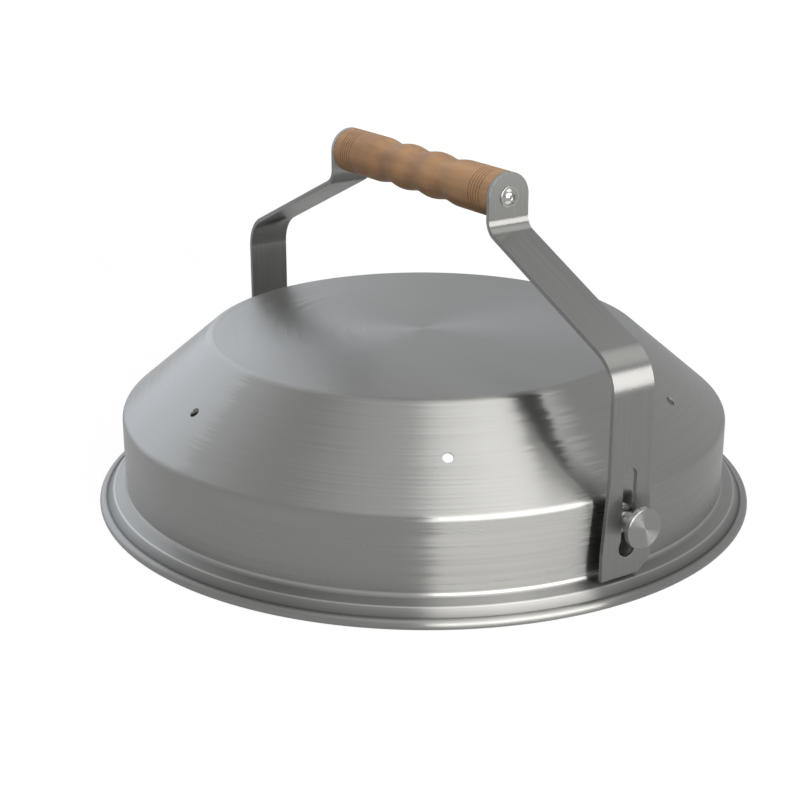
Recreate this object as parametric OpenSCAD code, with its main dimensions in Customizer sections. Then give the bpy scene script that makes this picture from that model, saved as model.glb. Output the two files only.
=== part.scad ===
// Hood of a portable pizza oven: a pressed sheet-metal hood with a rolled rim and a
// folding bail handle of two flat bars and a turned wooden grip.
// Millimetres, +Z up. The origin is the centre of the rim's underside.
// X runs along the grip. The right arm is the one at +X.

/* [Hood sheet] */
// Outer diameter of the upright wall
wall_d = 404; // [380:1:430]
// Outer diameter over the rolled rim
rim_d = 440; // [432:1:460]
// Height of the flat top above the rim's underside
hood_h = 112.4; // [100:0.1:130]
// Diameter of the flat top, measured at its corner
top_d = 286; // [220:1:320]
// Height at which the wall turns into the cone
shoulder_h = 62.3; // [59:0.1:72]
// Height at which the wall turns into the flange
foot_h = 13.6; // [12:0.1:16]
// Fall of the flange, degrees below level
flange_fall = 18.4; // [10:0.1:24]
// Fall of the skirt between flange and rolled rim, degrees below level
skirt_fall = 51; // [45:1:58]
// Outer radius of the rolled rim
bead_r = 3.2; // [2.6:0.1:3.6]
// Thickness of the sheet
sheet_t = 1; // [0.6:0.1:1.4]

/* [Hood corners] */
// Outer radius where top and cone meet
top_r = 8; // [3:0.5:14]
// Outer radius where cone and wall meet
shoulder_r = 6; // [3:0.5:10]
// Hollow radius where wall and flange meet
foot_r = 3; // [2:0.5:4]
// Outer radius where flange and skirt meet
edge_r = 2; // [1.5:0.1:3]
// Hollow radius where skirt and rolled rim meet
groove_r = 0.8; // [0.5:0.1:1.2]

/* [Vents] */
// Number of vent holes round the cone
vent_count = 6; // [3:1:12]
// Diameter of a vent hole
vent_d = 6.6; // [4:0.1:10]
// Radius of the ring of vent holes
vent_ring_r = 172.5; // [165:0.5:180]

/* [Handle bars] */
// Thickness of the flat bar
bar_t = 3; // [2:0.1:4]
// Width of the flat bar
bar_w = 30; // [26:0.5:34]
// Width of the bar's widened foot
foot_w = 37.4; // [34:0.1:42]
// Length of the part of the foot that has its full width
foot_full_h = 17.4; // [10:0.1:20]
// Length over which the bar widens into the foot
foot_taper_h = 42; // [30:1:50]
// Size of the slanted cut on the foot's folding corner
foot_cut = 8.9; // [8.5:0.1:11]
// Height of the grip's centre line
grip_h = 218.6; // [200:0.1:240]
// Height of the outer elbow corner below the grip's centre line
elbow_drop = 18.8; // [17:0.1:24]
// Fall of the slanted part of the bar, degrees below level
bar_fall = 25; // [20:0.5:30]
// Radius of the bend at the knee, on the outer face
knee_r = 27; // [20:1:34]
// Radius of the bend at the elbow, on the outer face
elbow_r = 9; // [5:1:10]

/* [Pivot] */
// Height of the pivot above the rim's underside
pivot_h = 48.6; // [47:0.1:49]
// Diameter of the threaded stud on each knob
stud_d = 10; // [8:0.5:11]
// Diameter of the knob's hub
hub_d = 12; // [11.5:0.1:14]
// Length of the knob's hub
hub_l = 10.2; // [6:0.1:14]
// Diameter of the knob's disc
knob_d = 25.2; // [20:0.1:32]
// Thickness of the knob's disc
knob_t = 4; // [2.5:0.1:6]
// Width of the weld nut across its flats
nut_af = 17; // [16:0.5:19]
// Thickness of the weld nut
nut_t = 3.8; // [3:0.1:5]
// Outer diameter of the slip washer
washer_d = 16; // [14:0.5:17]
// Thickness of the slip washer
washer_t = 1; // [0.6:0.1:1.6]
// Travel from the photographed place up to the stud's seat in the key hole
key_travel = 16.6; // [15:0.1:17]
// Length of the slot above the pivot, to the centre of its round end
slot_up = 27.8; // [20:0.1:34]

/* [Grip] */
// Length of the grip
grip_l = 174.6; // [150:0.1:190]
// Largest diameter of the grip
grip_d = 30; // [27:0.5:32]
// Depth of the finger hollows
hollow_depth = 1.8; // [0:0.1:2.5]
// Length of one finger hollow
hollow_l = 31.4; // [26:0.1:34]
// Number of finger hollows
hollow_count = 3; // [1:2:3]
// Number of turned grooves at each end
groove_count = 5; // [1:1:6]
// Spacing of the turned grooves
groove_pitch = 2.65; // [2.2:0.05:3]
// Distance from the grip's end to its first turned groove
groove_inset = 8.7; // [6:0.1:12]
// Width of a turned groove
groove_w = 0.9; // [0.6:0.1:1.2]
// Depth of a turned groove
groove_depth = 0.5; // [0.3:0.05:0.8]
// Chamfer on the grip's end edges
grip_chamfer = 0.6; // [0.3:0.1:1.2]

/* [Grip screws] */
// Thread diameter of the grip screws
screw_d = 6; // [5:0.5:7]
// Length of the screw under its head
screw_l = 18; // [14:0.5:20]
// Diameter of the flange under the screw's head
screw_flange_d = 13.6; // [12:0.1:16]
// Thickness of that flange
screw_flange_t = 1; // [0.8:0.1:1.4]
// Diameter of the domed head
screw_head_d = 10.5; // [9.5:0.1:11.5]
// Height of the domed head above the flange
screw_head_h = 2.4; // [2:0.1:3]
// Width of the hexagon socket across its flats
socket_af = 4; // [3:0.5:5]
// Depth of the hexagon socket
socket_depth = 2; // [1.5:0.1:2.4]
// Outer diameter of the threaded insert
insert_d = 10; // [9:0.1:12]
// Length of the threaded insert
insert_l = 20; // [16:0.5:24]
// Diameter of the insert's collar
collar_d = 14; // [13:0.5:16]
// Thickness of the insert's collar
collar_t = 1.2; // [1:0.1:2]

/* [Clearances] */
// Gap between pieces that are seated on each other
seat_gap = 0.1; // [0.05:0.01:0.15]
// Gap on each side of a face that slides
slide_gap = 0.2; // [0.15:0.01:0.3]
// Radial clearance of a running or threaded fit
fit_gap = 0.08; // [0.03:0.01:0.1]
// Radial clearance of a hole that a screw or stud passes through
pass_gap = 0.25; // [0.2:0.05:0.5]
// Radial clearance of the hub in the round key hole
key_gap = 0.5; // [0.3:0.05:0.8]
// Gap between the foot of the bar and the flange under it
foot_gap = 1.75; // [1.7:0.05:2.5]

/* [Hidden] */

// One overrun for every cut
over = 2;
// Chords in one corner bend, in the rolled rim and in one finger hollow
bend_steps = 8;
bead_steps = 30;
hollow_steps = 16;
// Height that the pressed underside of the rim takes off its round
bead_flat = 0.1;
// The rolled edge ends here, degrees from outward
bead_end = -195;
// Chamfers on the knob's disc, on the end of its stud and on the end of a grip screw
knob_chamfer = 0.5;
stud_chamfer = 1;
screw_chamfer = 0.5;
// Length of the stud that shows inside the wall
stud_end = 3;
// Depth of the grip's bore beyond the insert in it
bore_extra = 1;

// Heights and radii of the hood's outer face
wall_r = wall_d / 2;
rim_r = rim_d / 2;
bead_at = [rim_r - bead_r, bead_r - bead_flat];
cone_fall = atan2(hood_h - shoulder_h, wall_r - top_d / 2);
skirt_dir = [cos(skirt_fall), -sin(skirt_fall)];
flange_dir = [cos(flange_fall), -sin(flange_fall)];
edge_at = crossing([wall_r, foot_h], flange_dir, bead_at, skirt_dir);

// Places along the pivot axis, from the wall outwards
nut_x = wall_r + seat_gap;
washer_x = nut_x + nut_t + seat_gap;
bar_in_x = washer_x + washer_t + slide_gap;
bar_out_x = bar_in_x + bar_t;
hub_x = bar_out_x + slide_gap;
disc_x = hub_x + hub_l;
stud_x = wall_r - sheet_t - stud_end;

// The bar's bends, on its outer face
plate_in_x = grip_l / 2;
plate_out_x = plate_in_x + bar_t;
elbow_h = grip_h - elbow_drop;
knee_h = elbow_h - (bar_out_x - plate_out_x) * tan(bar_fall);
bar_top = grip_h + bar_w / 2;
flange_top = foot_h - (bar_in_x - wall_r) * tan(flange_fall);
bar_bottom = flange_top + foot_gap;
foot_top = bar_bottom + foot_full_h;
slot_w = stud_d + 2 * fit_gap;
key_h = pivot_h - key_travel;
key_d = hub_d + 2 * key_gap;

// Point where two lines meet, each given by a point and a direction
function crossing(a, u, b, v) =
  a + u * ((b - a).x * v.y - (b - a).y * v.x) / (u.x * v.y - u.y * v.x);
// Left-hand normal of a direction
function left_of(u) = [-u.y, u.x];
function unit(v) = v / norm(v);
// Point on a circle about c
function on_circle(c, r, a) = c + r * [cos(a), sin(a)];

// Points of one rounded corner of a path, moved a distance to the left of the path
function corner(before, at, after, r, left) =
  let (
    u = unit(at - before),
    v = unit(after - at),
    s = sign(u.x * v.y - u.y * v.x),
    turn = acos(u * v),
    centre = at - u * r * tan(turn / 2) + left_of(u) * s * r,
    start = atan2(-left_of(u).y * s, -left_of(u).x * s)
  )
  [for (k = [0 : bend_steps]) on_circle(centre, r - s * left, start + s * turn * k / bend_steps)];

// A path with rounded corners, moved a distance to its left. radii has one value per inner corner.
function path(points, radii, left) =
  let (last = len(points) - 1)
  concat(
    [points[0] + left_of(unit(points[1] - points[0])) * left],
    [for (i = [1 : last - 1]) each corner(points[i - 1], points[i], points[i + 1], radii[i - 1], left)],
    [points[last] + left_of(unit(points[last] - points[last - 1])) * left]
  );

function reversed(list) = [for (i = [len(list) - 1 : -1 : 0]) list[i]];

// Centre of the hollow that joins the skirt to the rolled rim, touching both
function groove_centre() =
  let (
    w = edge_at + left_of(skirt_dir) * groove_r - bead_at,
    along = w * skirt_dir,
    reach = groove_r + bead_r
  )
  edge_at + left_of(skirt_dir) * groove_r
    + skirt_dir * (-along - sqrt(along * along - w * w + reach * reach));

// The rolled rim from the groove round to its free edge, moved inwards by left < 0.
// The outer face is pressed flat where it meets the ground.
function rim_points(left) =
  let (
    g = groove_centre(),
    from = atan2((bead_at - g).y, (bead_at - g).x),
    skirt_side = -skirt_fall - 90,
    start = from + 180,
    r = bead_r + left,
    flat_half = left == 0 ? acos((bead_r - bead_flat) / bead_r) : 0,
    angles = [for (k = [0 : bead_steps]) start + (bead_end - start) * k / bead_steps]
  )
  concat(
    [for (k = [0 : bend_steps])
      on_circle(g, groove_r - left, skirt_side + (from - skirt_side) * k / bend_steps)],
    [for (a = angles) if (a < start && a > -90 + flat_half) on_circle(bead_at, r, a)],
    left == 0 ? [for (s = [1, -1]) on_circle(bead_at, r, -90 + s * flat_half)] : [],
    [for (a = angles) if (a < -90 - flat_half) on_circle(bead_at, r, a)]
  );

// Outer face of the hood from its centre to the edge of the flange, moved inwards by left < 0
function hood_points(left) =
  path(
    [[0, hood_h], [top_d / 2, hood_h], [wall_r, shoulder_h], [wall_r, foot_h],
     edge_at, groove_centre() - left_of(skirt_dir) * groove_r],
    [top_r, shoulder_r, foot_r, edge_r],
    left
  );

// The half section that is turned into the hood
function hood_section() =
  concat(
    hood_points(0), rim_points(0),
    reversed(rim_points(-sheet_t)), reversed(hood_points(-sheet_t))
  );

// Radius of the grip at a place along it
function grip_r(x) =
  abs(x) < hollow_count * hollow_l / 2
    ? grip_d / 2 - hollow_depth / 2 * (1 + cos(360 * x / hollow_l))
    : grip_d / 2;

// Half section of the grip as [radius, place along it], from the middle to one end
function grip_half() =
  let (
    half = grip_l / 2 - seat_gap,
    hollow_end = hollow_count * hollow_l / 2,
    n = hollow_steps * hollow_count
  )
  concat(
    [for (i = [0 : n / 2]) let (x = hollow_end * i * 2 / n) [grip_r(x), x]],
    [for (i = [groove_count - 1 : -1 : 0], s = [-1, 0, 1])
      [grip_d / 2 - (s == 0 ? groove_depth : 0), half - groove_inset - groove_pitch * i + s * groove_w / 2]],
    [[grip_d / 2, half - grip_chamfer], [grip_d / 2 - grip_chamfer, half]]
  );

// Turns a piece modelled along +Z so that it points along +X
module along_x() {
  rotate([0, 90, 0]) children();
}

// Places a piece of the right side on the side asked for
module on_side(side) {
  if (side > 0) children();
  else mirror([1, 0, 0]) children();
}

module disc(x, d, l, steps = 72) {
  translate([x, 0, 0]) along_x() cylinder(d = d, h = l, $fn = steps);
}

// A round bar along X with a chamfer at its far end
module turned(x, d, l, chamfer) {
  translate([x, 0, 0]) along_x() {
    cylinder(d = d, h = l - chamfer, $fn = 72);
    translate([0, 0, l - chamfer]) cylinder(d1 = d, d2 = d - 2 * chamfer, h = chamfer, $fn = 72);
  }
}

module vent_hole(angle) {
  drop = (vent_ring_r - top_d / 2) * tan(cone_fall);
  rotate([0, 0, angle])
    translate([vent_ring_r, 0, hood_h - drop])
      rotate([0, 90 - cone_fall, 0])
        translate([0, 0, -sheet_t - over])
          cylinder(d = vent_d, h = sheet_t + 2 * over, $fn = 48);
}

module dome_shell() {
  color("silver") difference() {
    rotate_extrude($fn = 180) polygon(hood_section());
    for (i = [0 : vent_count - 1]) vent_hole((i + 0.5) * 360 / vent_count);
    for (side = [1, -1])
      on_side(side)
        translate([0, 0, pivot_h])
          disc(stud_x, stud_d + 2 * pass_gap, wall_r + over - stud_x);
  }
}

module weld_nut(side) {
  color("lightgray") on_side(side) translate([0, 0, pivot_h]) difference() {
    translate([nut_x, 0, 0]) along_x() cylinder(d = nut_af / cos(30), h = nut_t, $fn = 6);
    disc(nut_x - over, stud_d + 2 * fit_gap, nut_t + 2 * over);
  }
}

module slip_washer(side) {
  color("gainsboro") on_side(side) translate([0, 0, pivot_h]) difference() {
    disc(washer_x, washer_d, washer_t);
    disc(washer_x - over, stud_d + 2 * pass_gap, washer_t + 2 * over);
  }
}

// The bar seen from the side: a strip of even thickness bent at knee and elbow
module bar_side() {
  corners = [[bar_out_x, bar_bottom], [bar_out_x, knee_h], [plate_out_x, elbow_h], [plate_out_x, bar_top]];
  radii = [knee_r, elbow_r];
  polygon(concat(path(corners, radii, 0), reversed(path(corners, radii, bar_t))));
}

// The bar seen along the grip: a rounded top, a straight bar and a widened foot with one cut corner
module bar_front() {
  translate([0, grip_h]) circle(d = bar_w, $fn = 96);
  polygon([
    [-foot_w / 2, bar_bottom], [foot_w / 2 - foot_cut, bar_bottom], [foot_w / 2, bar_bottom + foot_cut],
    [foot_w / 2, foot_top], [bar_w / 2, foot_top + foot_taper_h], [bar_w / 2, grip_h],
    [-bar_w / 2, grip_h], [-bar_w / 2, foot_top + foot_taper_h], [-foot_w / 2, foot_top]
  ]);
}

// The slot for the stud with a round key hole at its lower end
module bar_slot() {
  cut_x = bar_in_x - over;
  cut_l = bar_t + 2 * over;
  translate([cut_x, -slot_w / 2, key_h]) cube([cut_l, slot_w, key_travel + slot_up]);
  translate([0, 0, pivot_h + slot_up]) disc(cut_x, slot_w, cut_l);
  translate([0, 0, key_h]) disc(cut_x, key_d, cut_l);
}

module arm(side) {
  color("darkgray") on_side(side) difference() {
    intersection() {
      rotate([90, 0, 0]) linear_extrude(height = foot_w + 2 * over, center = true) bar_side();
      rotate([90, 0, 90]) linear_extrude(height = bar_out_x + over) bar_front();
    }
    bar_slot();
    translate([0, 0, grip_h]) disc(plate_in_x - over, screw_d + 2 * pass_gap, bar_t + 2 * over);
  }
}

module knob(side) {
  color("whitesmoke") on_side(side) translate([0, 0, pivot_h]) {
    // Stud, with a chamfered end inside the hood
    mirror([1, 0, 0]) turned(-hub_x, stud_d, hub_x - stud_x, stud_chamfer);
    disc(hub_x, hub_d, hub_l);
    // Disc with both edges chamfered
    translate([disc_x, 0, 0]) along_x() {
      cylinder(d1 = knob_d - 2 * knob_chamfer, d2 = knob_d, h = knob_chamfer, $fn = 72);
      translate([0, 0, knob_chamfer]) cylinder(d = knob_d, h = knob_t - 2 * knob_chamfer, $fn = 72);
      translate([0, 0, knob_t - knob_chamfer])
        cylinder(d1 = knob_d, d2 = knob_d - 2 * knob_chamfer, h = knob_chamfer, $fn = 72);
    }
  }
}

module grip() {
  half = grip_half();
  end = grip_l / 2 - seat_gap;
  section = concat(
    [[0, -end]],
    [for (p = reversed(half)) [p[0], -p[1]]],
    [for (i = [1 : len(half) - 1]) half[i]],
    [[0, end]]
  );
  color("burlywood") translate([0, 0, grip_h]) difference() {
    along_x() rotate_extrude($fn = 96) polygon(section);
    for (side = [1, -1]) on_side(side) {
      disc(end - insert_l - bore_extra, insert_d + 2 * fit_gap, insert_l + bore_extra + over);
      disc(end - collar_t, collar_d + 2 * fit_gap, collar_t + over);
    }
  }
}

module grip_insert(side) {
  end = grip_l / 2 - seat_gap;
  color("goldenrod") on_side(side) translate([0, 0, grip_h]) difference() {
    union() {
      disc(end - insert_l, insert_d, insert_l);
      disc(end - collar_t + seat_gap / 2, collar_d, collar_t - seat_gap / 2);
    }
    disc(end - insert_l - over, screw_d + 2 * fit_gap, insert_l + 2 * over);
  }
}

// Half section of a grip screw as [radius, place along it], from the thread's end to the head's top.
// The head is the cap of a ball that is as wide as the head where it meets the flange.
function screw_section() =
  let (
    ball_r = (screw_head_d * screw_head_d / 4 + screw_head_h * screw_head_h) / (2 * screw_head_h),
    cap_angle = asin(screw_head_d / 2 / ball_r),
    cap_at = screw_flange_t + screw_head_h - ball_r
  )
  concat(
    [[0, -screw_l], [screw_d / 2 - screw_chamfer, -screw_l], [screw_d / 2, screw_chamfer - screw_l],
     [screw_d / 2, 0], [screw_flange_d / 2, 0], [screw_flange_d / 2, screw_flange_t]],
    [for (k = [0 : bend_steps - 1])
      let (a = cap_angle * (1 - k / bend_steps)) [ball_r * sin(a), cap_at + ball_r * cos(a)]],
    [[0, screw_flange_t + screw_head_h]]
  );

module grip_screw(side) {
  head_top = screw_flange_t + screw_head_h;
  color("white") on_side(side) translate([plate_out_x + seat_gap, 0, grip_h]) along_x() difference() {
    rotate_extrude($fn = 72) polygon(screw_section());
    translate([0, 0, head_top - socket_depth])
      cylinder(d = socket_af / cos(30), h = socket_depth + over, $fn = 6);
  }
}

dome_shell();
weld_nut(1);  // weld_nut_right
weld_nut(-1);  // weld_nut_left
slip_washer(1);  // slip_washer_right
slip_washer(-1);  // slip_washer_left
arm(1);  // arm_right
arm(-1);  // arm_left
knob(1);  // knob_right
knob(-1);  // knob_left
grip();
grip_insert(1);  // grip_insert_right
grip_insert(-1);  // grip_insert_left
grip_screw(1);  // grip_screw_right
grip_screw(-1);  // grip_screw_left
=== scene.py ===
"""Looks of a portable pizza oven's hood: a spun and brushed stainless hood with a rolled rim, and a folding,
lifting bail handle of two brushed flat bars, a turned beech grip and turned steel thumb knobs."""

import math
from functools import partial

import bpy
import numpy as np
from mathutils import Matrix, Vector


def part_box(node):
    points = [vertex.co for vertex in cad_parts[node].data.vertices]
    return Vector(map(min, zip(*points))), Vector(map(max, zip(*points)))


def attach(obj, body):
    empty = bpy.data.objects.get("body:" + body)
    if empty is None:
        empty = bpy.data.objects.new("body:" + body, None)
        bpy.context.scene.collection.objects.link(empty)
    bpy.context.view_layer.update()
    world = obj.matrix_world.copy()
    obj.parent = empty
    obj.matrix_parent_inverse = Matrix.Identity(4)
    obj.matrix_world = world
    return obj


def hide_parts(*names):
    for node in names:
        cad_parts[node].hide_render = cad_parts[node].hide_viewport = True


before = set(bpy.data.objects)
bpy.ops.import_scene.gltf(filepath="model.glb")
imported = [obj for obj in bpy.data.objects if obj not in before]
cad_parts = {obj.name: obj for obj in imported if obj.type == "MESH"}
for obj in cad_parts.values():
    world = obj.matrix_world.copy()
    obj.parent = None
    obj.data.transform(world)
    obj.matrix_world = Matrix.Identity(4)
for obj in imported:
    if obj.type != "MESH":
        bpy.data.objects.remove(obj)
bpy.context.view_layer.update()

# Sizes. Lengths are in metres, read off the frame or written in millimetres.
MM = 0.001


def box(node):
    """Lowest and highest corner of a node as two arrays."""
    low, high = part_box(node)
    return np.array(low), np.array(high)


HOOD_HIGH = box("dome_shell")[1]
BAR_LOW, BAR_HIGH = box("arm_right")
NUT_LOW, NUT_HIGH = box("weld_nut_right")
WASHER_LOW, WASHER_HIGH = box("slip_washer_right")
KNOB_LOW, KNOB_HIGH = box("knob_right")
GRIP_LOW, GRIP_HIGH = box("grip")
SCREW_LOW, SCREW_HIGH = box("grip_screw_right")

# Hood sheet, on its outer face
SEAT_GAP = 0.1 * MM
HOOD_H = HOOD_HIGH[2]
RIM_R = HOOD_HIGH[0]
WALL_R = NUT_LOW[0] - SEAT_GAP
TOP_R = 143 * MM
SHOULDER_H = 62.3 * MM
FOOT_H = 13.6 * MM
FLANGE_FALL = math.radians(18.4)
SKIRT_FALL = math.radians(51)
BEAD_R = 3.2 * MM
BEAD_FLAT = 0.1 * MM
BEAD_END = math.radians(-195)
SHEET_T = 1 * MM
TOP_BEND = 8 * MM
SHOULDER_BEND = 6 * MM
FOOT_BEND = 3 * MM
EDGE_BEND = 2 * MM
GROOVE_BEND = 0.35 * MM
VENT_COUNT = 6
VENT_R = 3.3 * MM
STUD_HOLE_R = 5.25 * MM

# Pivot, knob, nut and washer
PIVOT_H = (NUT_LOW[2] + NUT_HIGH[2]) / 2
SLIDE_GAP = 0.2 * MM
FIT_GAP = 0.08 * MM
PASS_GAP = 0.25 * MM
STUD_R = 5 * MM
THREAD_PITCH = 1.5 * MM
THREAD_DEPTH = 0.6 * MM
HUB_R = 6 * MM
KNOB_R = (KNOB_HIGH[1] - KNOB_LOW[1]) / 2
KNOB_T = 4 * MM

# Flat bar of the handle, on its outer face
BAR_T = 3 * MM
BAR_OUT = BAR_HIGH[0]
PLATE_OUT = BAR_LOW[0] + BAR_T
BAR_BOTTOM = BAR_LOW[2]
BAR_TOP = BAR_HIGH[2]
FOOT_HALF_W = BAR_HIGH[1]
BAR_HALF_W = 15 * MM
FOOT_TOP = BAR_BOTTOM + 17.4 * MM
FOOT_TAPER = 42 * MM
FOOT_CUT = 8.9 * MM
BAR_FALL = math.radians(25)
KNEE_BEND = 27 * MM
ELBOW_BEND = 9 * MM
SLOT_HALF_W = STUD_R + FIT_GAP
SLOT_END_H = PIVOT_H + 27.8 * MM
KEY_R = HUB_R + 0.5 * MM
KEY_H = PIVOT_H - 16.6 * MM
SCREW_HOLE_R = 3.25 * MM

# Grip, its screws and its inserts
GRIP_H = (GRIP_LOW[2] + GRIP_HIGH[2]) / 2
GRIP_R = (GRIP_HIGH[2] - GRIP_LOW[2]) / 2
GRIP_END = GRIP_HIGH[0]
ROUND_RISE = BAR_TOP - GRIP_H
ELBOW_H = GRIP_H - 18.8 * MM
KNEE_H = ELBOW_H - (BAR_OUT - PLATE_OUT) * math.tan(BAR_FALL)
HOLLOW_DEPTH = 1.8 * MM
HOLLOW_L = 31.4 * MM
HOLLOWS_END = 3 * HOLLOW_L / 2
GROOVES_FROM = HOLLOWS_END + 5 * MM
GROOVE_COUNT = 5
GROOVE_PITCH = 2.65 * MM
GROOVE_INSET = 8.7 * MM
GROOVE_W = 0.9 * MM
GROOVE_DEPTH = 0.5 * MM
GRIP_CHAMFER = 0.6 * MM
INSERT_L = 20 * MM
BORE_EXTRA = 1 * MM
BORE_R = 5 * MM + FIT_GAP
COLLAR_R = 7 * MM + FIT_GAP
COLLAR_T = 1.2 * MM
SCREW_R = 3 * MM
SCREW_FLANGE_R = (SCREW_HIGH[1] - SCREW_LOW[1]) / 2
SCREW_FLANGE_T = 1 * MM
SCREW_HEAD_R = 5.25 * MM
SCREW_HEAD_H = 2.4 * MM
SOCKET_HALF_W = 2 * MM
SOCKET_DEPTH = 2 * MM

# Camera, from the photograph's ellipses and edges
CAMERA_AT = (0.868306, -0.603564, 0.438636)
CAMERA_RIGHT = (0.5586, 0.8294, -0.0005)
CAMERA_UP = (-0.2786, 0.1882, 0.9418)
CAMERA_LENS_MM = 74.31
SENSOR_MM = 36

# Corners closer than this are one
WELD = 1e-7
TURN = 2 * math.pi


# Shapes

def unit(v):
    """The vector or vectors divided by their length."""
    return v / np.linalg.norm(v, axis=-1, keepdims=True)


def left_of(v):
    return np.array([-v[1], v[0]])


def stacked(*parts):
    """Vectors made of their parts, which are first brought to one shape."""
    return np.stack(np.broadcast_arrays(*parts), axis=-1)


def polar(angle):
    """Unit vectors at an angle or angles."""
    return stacked(np.cos(angle), np.sin(angle))


def round_z(r, z, angle):
    """Vectors with the parts r outwards and z up, turned round Z by an angle."""
    return stacked(r * np.cos(angle), r * np.sin(angle), z)


def round_x(x, r, angle):
    """Vectors with the parts x and r outwards, turned round X by an angle from Y."""
    return stacked(x, r * np.cos(angle), r * np.sin(angle))


def distances(points):
    """The distance of each point from the first one, along the path through them all."""
    return np.concatenate([[0], np.cumsum(np.linalg.norm(np.diff(points, axis=0), axis=1))])


def arc(centre, radius, start, stop, side, steps=12):
    """Points centre + radius * (cos a, sin a) at even angles a. Normals point away from the centre,
    or towards it where side is -1."""
    ray = polar(np.linspace(start, stop, steps + 1))
    return centre + radius * ray, side * ray


def straight(a, b, between=()):
    """Points on the line from a to b, both ends and at distances between, with its left-hand normal."""
    a, b = np.asarray(a, float), np.asarray(b, float)
    along = unit(b - a)
    at = np.array([0, *between, np.linalg.norm(b - a)])
    return a + at[:, None] * along, np.tile(left_of(along), (len(at), 1))


def fillet(before, at, after, radius):
    """The arc that rounds a corner: it starts and ends radius * tan(turn / 2) from the corner, square to
    both lines. side is 1 where the path's left side bulges."""
    u, v = unit(at - before), unit(after - at)
    turn = math.atan2(u[0] * v[1] - u[1] * v[0], u @ v)
    side = -math.copysign(1, turn)
    centre = at - u * radius * math.tan(abs(turn) / 2) - side * left_of(u) * radius
    from_centre = side * left_of(u)
    start = math.atan2(from_centre[1], from_centre[0])
    return centre, start, start + turn, side


def rounded_path(points, radii, rows=None, steps=12):
    """Straight lines joined by fillets, as a list of (points, normals) stretches. rows gives extra
    distances on a line, measured from its sharp corner."""
    points = [np.asarray(p, float) for p in points]
    rows = rows or {}
    stretches = []
    here = points[0]
    for i in range(1, len(points)):
        used = np.linalg.norm(here - points[i - 1])
        extra = np.asarray(rows.get(i - 1, ())) - used
        if i == len(points) - 1:
            stretches.append(straight(here, points[i], extra))
            break
        centre, *turn = fillet(*points[i - 1:i + 2], radii[i - 1])
        curve = arc(centre, radii[i - 1], *turn, steps)
        stretches += [straight(here, curve[0][0], extra), curve]
        here = curve[0][-1]
    return stretches


def joined(stretches):
    """One array of points, one of normals and one of distances along the path."""
    points, normals = (np.concatenate([s[i] for s in stretches]) for i in (0, 1))
    return points, normals, distances(points)


def edge_round(thickness, radius, steps=3):
    """Section of a sheet's rounded edge from its upper to its lower face: how far it stands back from the
    edge, its depth, and its normal's shares outwards and upwards. Both corners are quarter circles."""
    up, out = polar(np.linspace(0, math.pi / 2, steps + 1)).T
    depth = radius * (1 - up)
    out = np.concatenate([out, out[::-1]])
    return (radius * (1 - out), np.concatenate([depth, thickness - depth[::-1]]), out,
            np.concatenate([up, -up[::-1]]))


def grid(points, normals, uv):
    """Corners of the quads of a grid of points, with their normals and UV."""
    def corners(a):
        a = np.asarray(a, float)
        around = [a[:-1, :-1], a[1:, :-1], a[1:, 1:], a[:-1, 1:]]
        return np.stack(around, axis=2).reshape(-1, 4, a.shape[-1])
    return corners(points), corners(normals), corners(uv)


def faceted(patch):
    """The patch with one flat normal for each quad, on the side of the normals that it had."""
    points, normals, uv = patch
    flat = np.cross(points[:, 2] - points[:, 0], points[:, 3] - points[:, 1])
    flat *= np.sign((flat * normals.sum(axis=1)).sum(axis=1))[:, None]
    flat /= np.maximum(np.linalg.norm(flat, axis=1), 1e-20)[:, None]
    return points, np.repeat(flat[:, None], 4, axis=1), uv


def mirrored(patches):
    """The patches on the other side of the plane X = 0."""
    flip = np.array([-1, 1, 1])
    return [(p * flip, n * flip, uv) for p, n, uv in patches]


def new_object(name, data):
    made = bpy.data.objects.new(name, data)
    bpy.context.scene.collection.objects.link(made)
    return made


def piece(name, coats, body, slot, *nodes):
    """A mesh of quads. coats gives the patches of each material. Corners closer than WELD become one
    vertex, quads with a side of no length become triangles, and every face is turned to the side of its
    normals."""
    patches = [patch for coat in coats.values() for patch in coat]
    coat_at = np.repeat(np.arange(len(coats)), [sum(len(p[0]) for p in coat) for coat in coats.values()])
    points, normals, uv = (np.concatenate([p[i] for p in patches]) for i in range(3))
    face = np.cross(points[:, 2] - points[:, 0], points[:, 3] - points[:, 1])
    wrong = (face * normals.sum(axis=1)).sum(axis=1) < 0
    for values in (points, normals, uv):
        values[wrong] = values[wrong][:, ::-1]
    keys = np.round(points.reshape(-1, 3) / WELD).astype(np.int64)
    _, first, corner = np.unique(keys, axis=0, return_index=True, return_inverse=True)
    corner = corner.reshape(-1, 4)
    keep = corner != np.roll(corner, -1, axis=1)
    keep &= (keep.sum(axis=1) >= 3)[:, None]
    sizes = keep.sum(axis=1)
    coat_at, sizes = coat_at[sizes > 0], sizes[sizes > 0]
    used, loops = np.unique(corner[keep], return_inverse=True)

    mesh = bpy.data.meshes.new(name)
    mesh.vertices.add(len(used))
    mesh.vertices.foreach_set("co", points.reshape(-1, 3)[first[used]].astype(np.float32).ravel())
    mesh.loops.add(len(loops))
    mesh.loops.foreach_set("vertex_index", loops.ravel().astype(np.int32))
    mesh.polygons.add(len(sizes))
    mesh.polygons.foreach_set("loop_start", (np.cumsum(sizes) - sizes).astype(np.int32))
    mesh.polygons.foreach_set("use_smooth", np.ones(len(sizes), bool))
    for material in coats:
        mesh.materials.append(material)
    mesh.polygons.foreach_set("material_index", coat_at.astype(np.int32))
    layer = mesh.uv_layers.new(name="sheet")
    layer.uv.foreach_set("vector", uv[keep].astype(np.float32).ravel())
    mesh.update(calc_edges=True)
    mesh.normals_split_custom_set(unit(normals[keep]))

    made = new_object(name, mesh)
    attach(made, body)
    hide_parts(*nodes)


# Hood

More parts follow.
